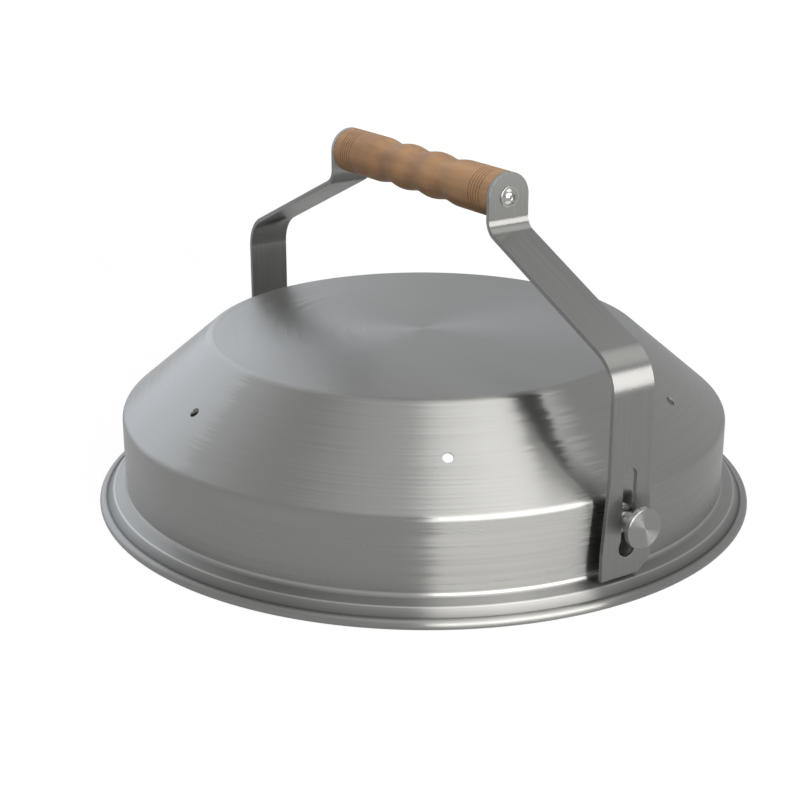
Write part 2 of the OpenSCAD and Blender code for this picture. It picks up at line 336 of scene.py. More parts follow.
GROOVE_STEPS = 8
BEAD_STEPS = 40


def hood_profile(rows):
    """The hood's outer face from its centre to the rolled edge, as [radius, height]: flat top, cone, wall,
    flange and skirt with fillets, a hollow that touches skirt and bead, and the bead's circle. Also the
    hollow's distance along the face."""
    bead = np.array([RIM_R - BEAD_R, BEAD_R - BEAD_FLAT])
    flange = polar(-FLANGE_FALL)
    skirt = polar(-SKIRT_FALL)
    foot = np.array([WALL_R, FOOT_H])
    gap = bead - foot
    reach = (gap[0] * skirt[1] - gap[1] * skirt[0]) / (flange[0] * skirt[1] - flange[1] * skirt[0])
    edge = foot + reach * flange

    lift = left_of(skirt) * GROOVE_BEND
    offset = edge + lift - bead
    along = offset @ skirt
    near = -along - math.sqrt(along ** 2 - offset @ offset + (GROOVE_BEND + BEAD_R) ** 2)
    groove = edge + lift + skirt * near
    towards = math.atan2(bead[1] - groove[1], bead[0] - groove[0])

    corners = [(0, HOOD_H), (TOP_R, HOOD_H), (WALL_R, SHOULDER_H), foot, edge, groove - lift]
    bends = [TOP_BEND, SHOULDER_BEND, FOOT_BEND, EDGE_BEND]
    stretches = rounded_path(corners, bends, rows)
    stretches.append(arc(groove, GROOVE_BEND, -SKIRT_FALL - math.pi / 2, towards, -1, GROOVE_STEPS))
    stretches.append(arc(bead, BEAD_R, towards + math.pi, BEAD_END, 1, BEAD_STEPS))
    points, normals, path = joined(stretches)
    return points, normals, path, path[-BEAD_STEPS - 1 - GROOVE_STEPS // 2]


class Hole:
    """A round hole in the hood. It lies at a distance down a straight stretch of the profile and at an
    angle, and its surroundings are a square of cells in the hood's grid of rows and angles."""
    cells = 12
    rings = 5

    def __init__(self, corner, along, down, angle, radius, half):
        self.centre = np.asarray(corner) + down * along
        self.along = along
        self.normal = left_of(along)
        self.down, self.angle, self.radius, self.half = down, angle, radius, half
        self.spread = half / self.centre[0]

    def rows(self):
        return np.linspace(self.down - self.half, self.down + self.half, self.cells + 1)

    def angles(self):
        return np.linspace(self.angle - self.spread, self.angle + self.spread, self.cells + 1)

    def surface(self, x, e, depth):
        """The place x round the hood and e down the slope from the hole's centre, at a depth, and the
        three directions there: outwards, round the hood and down the slope."""
        r = self.centre[0] + self.along[0] * e
        z = self.centre[1] + self.along[1] * e
        a = self.angle + x / r
        at = round_z(r - depth * self.normal[0], z - depth * self.normal[1], a)
        return at, round_z(*self.normal, a), stacked(-np.sin(a), np.cos(a), 0), round_z(*self.along, a)

    def patches(self, profile_at, lip=0.15 * MM):
        """On each face, rings that blend from the square's edge to the circle, and between the faces the
        hole's wall with rounded lips."""
        share = np.linspace(-1, 1, self.cells + 1)[:-1]
        one = np.ones_like(share)
        side_x = np.concatenate([share, one, -share, -one, [-1]])
        side_e = np.concatenate([-one, share, one, -share, [-1]])
        e_square = side_e * self.half
        x_square = side_x * self.spread * (self.centre[0] + self.along[0] * e_square)
        first_corner = math.radians(-135)
        ray = polar(first_corner + np.linspace(0, TURN, len(side_x)))
        mix = np.linspace(0, 1, self.rings + 1)[:, None]
        ring = self.radius + lip
        x = (1 - mix) * x_square + mix * ring * ray[:, 0]
        e = (1 - mix) * e_square + mix * ring * ray[:, 1]
        made = []
        for depth, side in ((0, 1), (SHEET_T, -1)):
            at, out, _, _ = self.surface(x, e, depth)
            made.append(grid(at, side * out, stacked(x, profile_at + e)))
        back, depth, away, up = (v[:, None] for v in edge_round(SHEET_T, lip))
        x, e = (self.radius + back) * ray[:, 0], (self.radius + back) * ray[:, 1]
        at, out, round_it, down = self.surface(x, e, depth)
        inwards = -(ray[None, :, :1] * round_it + ray[None, :, 1:] * down)
        made.append(grid(at, up[..., None] * out + away[..., None] * inwards, stacked(x, profile_at + e)))
        return made


def hood_holes():
    """Six vents half-way down the cone, and a stud hole on each side of the wall. The square round a vent
    is twice as wide as the vent, and the one round a stud hole 1.8 times."""
    top_corner, shoulder = np.array([TOP_R, HOOD_H]), np.array([WALL_R, SHOULDER_H])
    slope = unit(shoulder - top_corner)
    middle = np.linalg.norm(shoulder - top_corner) / 2
    vents = [Hole(top_corner, slope, middle, (i + 0.5) * TURN / VENT_COUNT, VENT_R, 2 * VENT_R)
             for i in range(VENT_COUNT)]
    down = np.array([0.0, -1.0])
    studs = [Hole(shoulder, down, SHOULDER_H - PIVOT_H, a, STUD_HOLE_R, 1.8 * STUD_HOLE_R)
             for a in (0, math.pi)]
    return vents, studs


def hood_angles(holes, step=math.radians(2)):
    """Angles round the hood: even steps, with each hole's own finer ones between its square's sides."""
    holes = sorted(holes, key=lambda h: h.angle)
    angles = []
    for i, hole in enumerate(holes):
        after = holes[i + 1] if i + 1 < len(holes) else holes[0]
        start = hole.angle + hole.spread
        stop = after.angle - after.spread + (TURN if after is holes[0] else 0)
        count = math.ceil((stop - start) / step)
        angles += [hole.angles(), np.linspace(start, stop, count + 1)[1:-1]]
    angles = np.concatenate(angles)
    return np.append(angles, angles[0] + TURN)


def hood_patches():
    """The profile turned round Z, outer face and the face a sheet's thickness under it, with the holes'
    squares left out and filled by their own rings, and a strip that closes the rolled edge. The outer face
    of the flat top and the rim come apart from the rest, for their own finish."""
    vents, studs = hood_holes()
    points, normals, path, _ = hood_profile({1: vents[0].rows(), 2: studs[0].rows()})
    angles = hood_angles(vents + studs)
    middle = (points[1:] + points[:-1]) / 2
    cell_angle = (angles[1:] + angles[:-1]) / 2

    solid = np.ones((len(points) - 1, len(angles) - 1), bool)
    patches = []
    for hole in vents + studs:
        from_hole = middle - hole.centre
        in_rows = (abs(from_hole @ hole.along) < hole.half) & (abs(from_hole @ hole.normal) < WELD)
        turned = (cell_angle - hole.angle + math.pi) % TURN - math.pi
        solid &= ~np.outer(in_rows, abs(turned) < hole.spread)
        nearest = np.argmin(np.linalg.norm(points - hole.centre, axis=1))
        patches += hole.patches(path[nearest] - (points[nearest] - hole.centre) @ hole.along)

    def turned_face(depth, side):
        r, z = np.split(points - depth * normals, 2, axis=1)
        out = round_z(*np.split(normals, 2, axis=1), angles)
        return round_z(r, np.maximum(z, 0), angles), side * out, stacked(angles * WALL_R, path[:, None])

    outer, inner = turned_face(0, 1), turned_face(SHEET_T, -1)
    flat_top = solid & (middle[:, 1:] > HOOD_H - WELD)
    low_rim = solid & (middle[:, 1:] < FOOT_H + FOOT_BEND)
    top, rim, rest, under = (
        tuple(a[cells.ravel()] for a in grid(*face))
        for face, cells in ((outer, flat_top), (outer, low_rim), (outer, solid & ~flat_top & ~low_rim),
                            (inner, solid)))
    at, _, uv = (np.stack([outer[i][-1], inner[i][-1]]) for i in range(3))
    end = round_z(*-left_of(normals[-1]), angles)
    return [top], patches + [rest, under, grid(at, np.stack([end, end]), uv)], [rim]


# Handle bars

class Bar:
    """The bent flat bar. A place on it is y across and s along its outer face from the foot up, and a
    depth below that face. Its outline is a function of the height in each of its upright ends."""

    def __init__(self):
        corners = [(BAR_OUT, BAR_BOTTOM), (BAR_OUT, KNEE_H), (PLATE_OUT, ELBOW_H), (PLATE_OUT, BAR_TOP)]
        stretches = rounded_path(corners, [KNEE_BEND, ELBOW_BEND], steps=16)
        self.points, self.left, self.path = joined(stretches)

    def s_of(self, height):
        """Distance along the bar of a height in either upright end."""
        height = np.asarray(height, float)
        plate = self.path[-1] - (BAR_TOP - height)
        return np.where(height < KNEE_H, height - BAR_BOTTOM, plate)

    def surface(self, y, s, depth):
        """The place, and the three directions there: out of the outer face, across and along."""
        x, z, left_x, left_z = (np.interp(s, self.path, v) for v in (*self.points.T, *self.left.T))
        left_x, left_z = np.moveaxis(unit(stacked(left_x, left_z)), -1, 0)
        at = stacked(x + depth * left_x, y, z + depth * left_z)
        return at, stacked(-left_x, 0, -left_z), stacked(0, 1, 0 * x), stacked(left_z, 0, -left_x)


def mitre(before, after):
    """The way that a corner's point moves when both its sides move by one along their normals."""
    return (before + after) / (1 + (before * after).sum(axis=-1, keepdims=True))


def outline(points, normals_before, normals_after):
    """An outline's points as (y, s), each with the normals before and after it and its mitre."""
    points, before, after = (np.asarray(a, float) for a in (points, normals_before, normals_after))
    return points, before, after, mitre(before, after)


def bar_side(bar, s, side):
    """Half outline of the bar on one side, from the foot's bottom corner to the middle of its round top.
    The foot is wide, tapers into the bar, and has a slanted cut on the side it folds to (side = 1)."""
    foot_s, taper_s, round_s = bar.s_of([FOOT_TOP, FOOT_TOP + FOOT_TAPER, GRIP_H])
    lean = math.atan2(FOOT_HALF_W - BAR_HALF_W, FOOT_TAPER)
    cut_share = np.clip(1 - s / FOOT_CUT, 0, 1) if side > 0 else np.zeros_like(s)
    up = np.clip((s - round_s) / ROUND_RISE, 0, 1)
    width = np.interp(s, [foot_s, taper_s], [FOOT_HALF_W, BAR_HALF_W]) - FOOT_CUT * cut_share
    width = np.where(s > round_s, BAR_HALF_W * np.sqrt(1 - up ** 2), width)

    def normal(angle_up):
        return stacked(side * np.cos(angle_up), np.sin(angle_up))

    angle = np.where(s > round_s, np.arcsin(up), 0)
    before = np.where((s > foot_s) & (s <= taper_s), lean, angle)
    after = np.where((s >= foot_s) & (s < taper_s), lean, angle)
    if side > 0:
        before = np.where(s <= FOOT_CUT + WELD, -math.pi / 4, before)
        after = np.where(s < FOOT_CUT - WELD, -math.pi / 4, after)
    before = np.where(s == 0, -math.pi / 2, before)
    return outline(stacked(side * width, s), normal(before), normal(after))


def hole_side(s, side, circle_at, corners):
    """One side of a hole in the bar, at places from its lowest to its highest. circle_at gives for each
    place how far it is past the middle of the circle that bounds the hole there, and the radius. The normal
    points into the hole, and corners are places where its angle jumps."""
    past, radius = circle_at(s)
    width = np.sqrt(np.maximum(radius ** 2 - past ** 2, 0))
    at_corner = np.isclose(s[:, None], np.reshape(corners, (1, -1)), atol=WELD).any(axis=1)

    def normal(nudge):
        past, radius = circle_at(s + nudge * at_corner)
        angle_up = -np.arcsin(np.clip(past / radius, -1, 1))
        return stacked(-side * np.cos(angle_up), np.sin(angle_up))

    return outline(stacked(side * width, s), normal(-WELD), normal(WELD))


def bar_patches(lip=0.22 * MM):
    """Both faces as rows between the outline and the holes, each row straight across from a point of one
    to a point of the other, and a rounded edge along every outline."""
    bar = Bar()
    key_s, slot_s, screw_s, round_s = bar.s_of([KEY_H, SLOT_END_H, GRIP_H, GRIP_H])
    meet = math.asin(math.sqrt(KEY_R ** 2 - SLOT_HALF_W ** 2) / KEY_R)
    meet_s = key_s + KEY_R * math.sin(meet)
    # Round parts: middle, radius, first and last angle, and the number of rows there
    rounds = ((key_s, KEY_R, -math.pi / 2, meet, 20), (slot_s, SLOT_HALF_W, 0, math.pi / 2, 13),
              (screw_s, SCREW_HOLE_R, -math.pi / 2, math.pi / 2, 25),
              (round_s, ROUND_RISE, 0, math.pi / 2, 25))
    s = np.concatenate([
        [0, FOOT_CUT], bar.s_of([FOOT_TOP, FOOT_TOP + FOOT_TAPER]), bar.path[1:-1],
        *(middle + radius * np.sin(np.linspace(start, stop, count))
          for middle, radius, start, stop, count in rounds)])
    s = np.unique(np.round(s / WELD)) * WELD
    ends = np.array([key_s - KEY_R, slot_s + SLOT_HALF_W, screw_s - SCREW_HOLE_R, screw_s + SCREW_HOLE_R])
    ends = np.round(ends / WELD) * WELD
    crowded = (abs(s[:, None] - ends) < 2 * lip) & (abs(s[:, None] - ends) > WELD / 2)
    outside = [s < ends[0], s > ends[1], s < ends[2], s > ends[3]]
    s = s[~(crowded & np.stack(outside, axis=1)).any(axis=1)]

    def slot_at(at):
        in_key = at <= meet_s
        return np.where(in_key, at - key_s, np.maximum(at - slot_s, 0)), np.where(in_key, KEY_R, SLOT_HALF_W)

    def screw_at(at):
        return at - screw_s, SCREW_HOLE_R

    back, depth, away, up = (v[:, None] for v in edge_round(BAR_T, lip))

    def rounded_edge(points, before, after, lean):
        """A band along an outline: its section is the sheet's rounded edge, moved along the mitres. Each
        point stands twice in it, with its normal before and after the corner there."""
        twice = np.repeat(np.arange(len(points)), 2)
        normal = np.stack([before, after], axis=1).reshape(-1, 2)
        y = points[twice, 0] - back * lean[twice, 0]
        along = points[twice, 1] - back * lean[twice, 1]
        at, out, across, lengthwise = bar.surface(y, along, depth)
        edge = normal[:, :1] * across + normal[:, 1:] * lengthwise
        return grid(at, up[..., None] * out + away[..., None] * edge, stacked(along, y - depth))

    patches = []
    lowest = []
    mix = np.linspace(0, 1, 5)[:, None, None]
    for side in (-1, 1):
        inner = stacked(0, s)
        for low, high, circle_at, corners in ((*ends[:2], slot_at, [meet_s]), (*ends[2:], screw_at, [])):
            inside = (s >= low - WELD / 2) & (s <= high + WELD / 2)
            line = hole_side(s[inside], side, circle_at, corners)
            patches.append(rounded_edge(*line))
            inner[inside] = line[0] - lip * line[3]
        line = bar_side(bar, s, side)
        patches.append(rounded_edge(*line))
        lowest.append((line[0][0], line[3][0]))
        across = (1 - mix) * (line[0] - lip * line[3]) + mix * inner
        for at_depth, face in ((0, 1), (BAR_T, -1)):
            at, out, _, _ = bar.surface(across[..., 0], across[..., 1], at_depth)
            patches.append(grid(at, face * out, across[..., ::-1]))
    # The bottom edge runs between the two lowest corners
    points, lean = (np.stack(pair) for pair in zip(*lowest))
    down = np.tile([0.0, -1.0], (2, 1))
    patches.append(rounded_edge(points, down, down, lean))
    return patches


# Turned pieces

def lathe(points, normals, height, steps=96):
    """A profile of [place along X, radius] turned round the line parallel to X at a height."""
    angles = np.linspace(0, TURN, steps + 1)
    at = round_x(*np.split(points, 2, axis=1), angles) + [0, 0, height]
    out = round_x(*np.split(normals, 2, axis=1), angles)
    return grid(at, out, stacked(angles * abs(points[:, 1]).max(), distances(points)[:, None]))


def turned_profile(corners, radii, height, steps=96, soft=4):
    """Patches of a turned piece whose section is a path with rounded corners."""
    return [lathe(*stretch, height, steps) for stretch in rounded_path(corners, radii, steps=soft)]


def knob_patches():
    """Disc, hub and stud in one. The stud's thread is a helix: its radius dips with the cosine of the
    place along it less the share of the turn, and fades out at both ends."""
    stud_end, disc_end = KNOB_LOW[0], KNOB_HIGH[0]
    hub_start = BAR_OUT + SLIDE_GAP
    disc_start = disc_end - KNOB_T
    chamfer, disc_chamfer = 1 * MM, 0.5 * MM
    soft = 0.35 * MM
    tip = [(stud_end, 0), (stud_end, STUD_R - chamfer), (stud_end + chamfer, STUD_R),
           (stud_end + chamfer + soft, STUD_R)]
    body = [(hub_start - 2 * soft, STUD_R), (hub_start, STUD_R), (hub_start, HUB_R), (disc_start, HUB_R),
            (disc_start, KNOB_R - disc_chamfer), (disc_start + disc_chamfer, KNOB_R),
            (disc_end - disc_chamfer, KNOB_R), (disc_end, KNOB_R - disc_chamfer), (disc_end, 0)]
    patches = turned_profile(tip, [0.05 * MM, 0.05 * MM], PIVOT_H)
    patches += turned_profile(body, [0.02 * MM, 0.3 * MM, soft] + [0.12 * MM] * 4, PIVOT_H)

    # About eight rows to a turn of the thread
    x = np.linspace(tip[-1][0], body[0][0], 96)[:, None]
    angles = np.linspace(0, TURN, 97)[None, :]
    fade = np.clip(np.minimum(x - x[0], x[-1] - x) / THREAD_PITCH, 0, 1)
    wave = np.cos(TURN * x / THREAD_PITCH - angles)
    radius = STUD_R - THREAD_DEPTH * fade * (0.5 - 0.5 * wave)
    at = round_x(x, radius, angles) + [0, 0, PIVOT_H]
    step_x, step_a = np.gradient(at, axis=0), np.gradient(at, axis=1)
    step_a[:, 0] = step_a[:, -1] = at[:, 1] - at[:, -2]
    patches.append(grid(at, unit(np.cross(step_a, step_x)), stacked(angles * STUD_R, x)))
    return patches


def hexagon(half_width, cells=12):
    """Angles round a hexagon and its radius there, half_width / cos(angle from the middle of a side).
    The corners lie on whole cells, with one at the top and one at the bottom."""
    angles = np.linspace(0, TURN, 6 * cells + 1)
    from_middle = (angles + math.pi / 6) % (math.pi / 3) - math.pi / 6
    return angles, half_width / np.cos(from_middle)


def ring_grid(rings, angles, height, normal_x, normal_r):
    """A grid of rings round X. Each is its place along X and its radius, for all angles or for each."""
    x, radius = (np.stack([v + 0 * angles for v in values]) for values in zip(*rings))
    x, radius, normal_x, normal_r = np.broadcast_arrays(x, radius, normal_x, normal_r)
    at = round_x(x, radius, angles) + [0, 0, height]
    return grid(at, round_x(normal_x, normal_r, angles), stacked(angles * GRIP_R, x + radius))


def nut_patches():
    """A hexagon nut: both faces are flat out to a circle, past which a cone of 30 degrees cuts the
    corners, and the bore has chamfered mouths."""
    angles, corner_r = hexagon((NUT_HIGH[1] - NUT_LOW[1]) / 2)
    flat_share = 0.97
    face_r = flat_share * corner_r.min()
    bore_r = STUD_R + FIT_GAP
    mouth = 0.6 * MM
    mouth_r = bore_r + mouth
    cone = math.radians(30)
    fall = (corner_r - face_r) * math.tan(cone)
    low, high = NUT_LOW[0], NUT_HIGH[0]
    patches = []
    for x, side in ((low, -1), (high, 1)):
        for rings, normal in (
                ([(x, mouth_r), (x, face_r)], (side, 0)),
                ([(x, face_r), (x - side * fall, corner_r)], (side * math.cos(cone), math.sin(cone))),
                ([(x, mouth_r), (x - side * mouth, bore_r)], (side, -1))):
            patches.append(ring_grid(rings, angles, PIVOT_H, *normal))
    sides = [(low + fall, corner_r), (high - fall, corner_r)]
    bore = [(low + mouth, bore_r), (high - mouth, bore_r)]
    return patches + [faceted(ring_grid(sides, angles, PIVOT_H, 0, 1)),
                      ring_grid(bore, angles, PIVOT_H, 0, -1)]


def washer_patches():
    """A flat ring with all four edges rounded."""
    low, high = WASHER_LOW[0], WASHER_HIGH[0]
    inner, outer = STUD_R + PASS_GAP, (WASHER_HIGH[1] - WASHER_LOW[1]) / 2
    middle = (inner + outer) / 2
    corners = [(low, middle), (low, outer), (high, outer), (high, inner), (low, inner), (low, middle)]
    return turned_profile(corners, [0.2 * MM] * 4, PIVOT_H)


def grip_radius(x):
    """The grip's radius: three hollows along a cosine, and cosine-squared grooves near both ends."""
    x = abs(x)
    wave = HOLLOW_DEPTH / 2 * (1 + np.cos(TURN * x / HOLLOW_L))
    hollow = np.where(x < HOLLOWS_END, wave, 0)
    groove = 0 * x
    for i in range(GROOVE_COUNT):
        away = (x - (GRIP_END - GROOVE_INSET - i * GROOVE_PITCH)) / GROOVE_W
        groove = groove + GROOVE_DEPTH * np.cos(math.pi * np.clip(away, -0.5, 0.5)) ** 2
    return GRIP_R - hollow - groove


def grip_patches():
    """The turned outside, and at each end a rounded edge, the end face and the stepped bore."""
    half = GRIP_END - GRIP_CHAMFER
    grooves = GRIP_END - GROOVE_INSET - GROOVE_PITCH * np.arange(GROOVE_COUNT)[:, None]
    grooves = (grooves + GROOVE_W / 2 * np.linspace(-1, 1, 13)).ravel()
    x = np.unique(np.concatenate([np.linspace(-half, half, 241), grooves, -grooves]))
    nudge = 0.01 * MM
    slope = (grip_radius(x + nudge) - grip_radius(x - nudge)) / (2 * nudge)
    slope[[0, -1]] = 0
    middle = [(stacked(x, grip_radius(x)), unit(stacked(-slope, 1)))]
    step, bore_end = GRIP_END - COLLAR_T, GRIP_END - INSERT_L - BORE_EXTRA
    corners = [(GRIP_END, GRIP_R - GRIP_CHAMFER), (GRIP_END, COLLAR_R), (step, COLLAR_R), (step, BORE_R),
               (bore_end, BORE_R), (bore_end, 0)]
    end = [arc(np.array([half, GRIP_R - GRIP_CHAMFER]), GRIP_CHAMFER, math.pi / 2, 0, 1, 5)]
    end += [straight(a, b) for a, b in zip(corners, corners[1:])]
    middle, right = ([lathe(*stretch, GRIP_H, 128) for stretch in part] for part in (middle, end))
    return middle + right + mirrored(right)


def grip_screw_patches():
    """A flanged button-head screw: shank, flange and a ball's cap, with a hexagon socket in the cap."""
    seat = PLATE_OUT + SEAT_GAP
    top = seat + SCREW_FLANGE_T + SCREW_HEAD_H
    ball_r = (SCREW_HEAD_R ** 2 + SCREW_HEAD_H ** 2) / (2 * SCREW_HEAD_H)
    ball_x = top - ball_r
    tip = 0.5 * MM
    corners = [(SCREW_LOW[0], 0), (SCREW_LOW[0], SCREW_R - tip), (SCREW_LOW[0] + tip, SCREW_R),
               (seat, SCREW_R), (seat, SCREW_FLANGE_R), (seat + SCREW_FLANGE_T, SCREW_FLANGE_R),
               (seat + SCREW_FLANGE_T, SCREW_HEAD_R)]
    patches = turned_profile(corners, [0.05 * MM, 0.05 * MM, 0.05 * MM, 0.25 * MM, 0.4 * MM], GRIP_H, 72)
    angles, hex_r = hexagon(SOCKET_HALF_W)
    radius = hex_r + np.linspace(0, 1, 13)[:, None] * (SCREW_HEAD_R - hex_r)
    x = ball_x + np.sqrt(ball_r ** 2 - radius ** 2)
    patches.append(ring_grid(zip(x, radius), angles, GRIP_H, (x - ball_x) / ball_r, radius / ball_r))
    # The socket's wall, and a floor dished by a quarter of what a drill's point would leave
    floor_x = top - SOCKET_DEPTH
    drill = math.radians(30)
    point_x = floor_x - hex_r.min() * math.tan(drill) / 4
    for rings, normal in (([(x[0], hex_r), (floor_x, hex_r)], (0, -1)),
                          ([(floor_x, hex_r), (point_x, 0)], (math.cos(drill), -math.sin(drill)))):
        patches.append(faceted(ring_grid(rings, angles, GRIP_H, *normal)))
    return patches


# Materials

# Most values of a noise lie between these two
NOISE_LOW, NOISE_HIGH = 0.3, 0.7
PATCH_W = 40 * MM


def linear(colour):
    """An sRGB hex colour such as #808080 as linear red, green, blue and alpha."""
    parts = [int(colour[i:i + 2], 16) / 255 for i in (1, 3, 5)]
    return [p / 12.92 if p <= 0.04045 else ((p + 0.055) / 1.055) ** 2.4 for p in parts] + [1]


def add_node(tree, kind, inputs=None, stops=(), **settings):
    """Adds a node. inputs maps its sockets to constants, to other nodes' outputs, or to nodes, which stand
    for their first output. settings are its properties, and stops a ramp's places and colours."""
    node = tree.nodes.new(kind)
    for name, value in settings.items():
        setattr(node, name, value)
    for i, (at, colour) in enumerate(stops):
        stop = node.color_ramp.elements[i] if i < 2 else node.color_ramp.elements.new(at)
        stop.position, stop.color = at, colour
    for name, value in (inputs or {}).items():
        if isinstance(value, bpy.types.Node):
            value = value.outputs[0]
        if isinstance(value, bpy.types.NodeSocket):
            tree.links.new(value, node.inputs[name])
        else:
            node.inputs[name].default_value = value
    return node


def cleared(owner):
    """The material or world, without its nodes, and add_node for its tree."""
    owner.use_nodes = True
    owner.node_tree.nodes.clear()
    return owner, partial(add_node, owner.node_tree)


def new_material(name):
    """A material, add_node for its tree, and the place on the object."""
    material, add = cleared(bpy.data.materials.new(name))
    return material, add, add("ShaderNodeTexCoord").outputs["Object"]


def brushed_steel(name, colour, lie, centre=(0, 0, 0), roughness=0.3, anisotropy=1.0, streak_l=140 * MM,
                  streak_w=1.5 * MM, bump_h=0.0003 * MM, uneven=0.006, fray=0.016, tone=0.021, bands=()):
    """Stainless steel, brushed or turned. lie says how the brush lines run: round Z or round X about the
    centre, or along the bar. Across the lines the scratches smear a reflection wide, along them it
    stays sharp. Long streaks, streak_l by streak_w, vary the roughness by uneven and the colour by tone
    from line to line, and the height by bump_h. Patches vary the roughness by a quarter of uneven. fray
    leans each line's normal along the line, so that a reflection ends in loose threads. bands gives
    places across the sheet and how bright its colour is painted there: painted shade in a groove and a
    painted highlight on a bend."""
    material, add, place = new_material(name)
    sheet = add("ShaderNodeUVMap", uv_map="sheet")
    across = add("ShaderNodeSeparateXYZ", {0: sheet}).outputs
    if lie == "along":
        tangent = add("ShaderNodeCombineXYZ", {"Y": 1})
        turn = 0
        lines = add("ShaderNodeCombineXYZ", {"X": across["X"], "Y": across["Y"]})
        lines = add("ShaderNodeMapping", {"Vector": lines, "Scale": (1 / streak_l, 1 / streak_w, 1)})
    else:
        axis, radius = ((0, 0, 1), WALL_R) if lie == "round z" else ((1, 0, 0), KNOB_R)
        from_centre = add("ShaderNodeVectorMath", {0: place, 1: centre}, operation="SUBTRACT")
        tangent = add("ShaderNodeVectorMath", {0: axis, 1: from_centre}, operation="CROSS_PRODUCT")
        turn = 0.25
        around = add("ShaderNodeVectorMath", {0: tangent}, operation="NORMALIZE")
        reach = add("ShaderNodeVectorMath", {0: around, "Scale": radius / streak_l}, operation="SCALE")
        step = add("ShaderNodeMath", {0: across["Y"], 1: 1 / streak_w}, operation="MULTIPLY")
        rise = add("ShaderNodeVectorMath", {0: axis, "Scale": step}, operation="SCALE")
        lines = add("ShaderNodeVectorMath", {0: reach, 1: rise}, operation="ADD")
    streaks = add("ShaderNodeTexNoise", {"Vector": lines, "Scale": 1, "Detail": 0})
    patchy = add("ShaderNodeTexNoise", {"Vector": place, "Scale": 1 / PATCH_W, "Detail": 2})
    # Each noise drives a value that goes up and down from a middle by a spread
    rough, worn, shade, lean = (
        add("ShaderNodeMapRange", {"Value": noise, "From Min": NOISE_LOW, "From Max": NOISE_HIGH,
                                   "To Min": middle - spread, "To Max": middle + spread})
        for noise, middle, spread in ((streaks, roughness, uneven), (patchy, 0, uneven / 4),
                                      (streaks, 1, tone), (streaks, 0, fray)))
    rough = add("ShaderNodeMath", {0: rough, 1: worn}, operation="ADD")
    # Painted light: the bands paint the colour brighter on bends and darker in a groove
    if bands:
        first, last = bands[0][0], bands[-1][0]
        share = add("ShaderNodeMapRange", {"Value": across["Y"], "From Min": first, "From Max": last})
        ramp = add("ShaderNodeValToRGB", {"Fac": share},
                   [((at - first) / (last - first), (value, value, value, 1)) for at, value in bands])
        shade = add("ShaderNodeMath", {0: shade, 1: ramp}, operation="MULTIPLY")
    tinted = add("ShaderNodeVectorMath", {0: linear(colour)[:3], "Scale": shade}, operation="SCALE")
    tangent = add("ShaderNodeVectorTransform", {0: tangent}, vector_type="VECTOR",
                  convert_from="OBJECT", convert_to="WORLD")
    line = add("ShaderNodeVectorMath", {0: tangent}, operation="NORMALIZE")
    leant = add("ShaderNodeVectorMath", {0: line, "Scale": lean}, operation="SCALE")
    face = add("ShaderNodeNewGeometry").outputs["Normal"]
    turned = add("ShaderNodeVectorMath", {0: face, 1: leant}, operation="ADD")
    turned = add("ShaderNodeVectorMath", {0: turned}, operation="NORMALIZE")
    bump = add("ShaderNodeBump",
               {"Strength": 1, "Distance": bump_h, "Height": streaks, "Normal": turned})
    steel = add("ShaderNodeBsdfPrincipled",
                {"Metallic": 1, "Anisotropic": anisotropy, "Anisotropic Rotation": turn, "Base Color": tinted,
                 "Roughness": rough, "Tangent": tangent, "Normal": bump})
    add("ShaderNodeOutputMaterial", {"Surface": steel})
    return material


def polished_steel():
    """Polished stainless of a bought screw: a clear mirror with faint polishing marks."""
    material, add, place = new_material("polished_stainless_screw")
    marks = add("ShaderNodeTexNoise", {"Vector": place, "Scale": 1 / (0.6 * MM), "Detail": 3})
    rough = add("ShaderNodeMapRange", {"Value": marks, "To Min": 0.05, "To Max": 0.11})
    bump = add("ShaderNodeBump", {"Strength": 0.3, "Distance": 0.01 * MM, "Height": marks})
    steel = add("ShaderNodeBsdfPrincipled",
                {"Metallic": 1, "Base Color": linear("#BAB9B6"), "Roughness": rough, "Normal": bump})
    add("ShaderNodeOutputMaterial", {"Surface": steel})
    return material


def machined_brass():
    """Brass bar turned on a lathe: fine rings round X every quarter of a millimetre."""
    material, add, place = new_material("machined_brass_insert")
    waves = 1 / (0.25 * MM) / TURN
    rings = add("ShaderNodeTexWave", {"Vector": place, "Scale": waves, "Distortion": 0.2},
                bands_direction="X").outputs[1]
    bump = add("ShaderNodeBump", {"Strength": 0.4, "Distance": 0.02 * MM, "Height": rings})
    brass = add("ShaderNodeBsdfPrincipled",
                {"Metallic": 1, "Base Color": linear("#CBA35C"), "Roughness": 0.3, "Normal": bump})
    add("ShaderNodeOutputMaterial", {"Surface": brass})
    return material


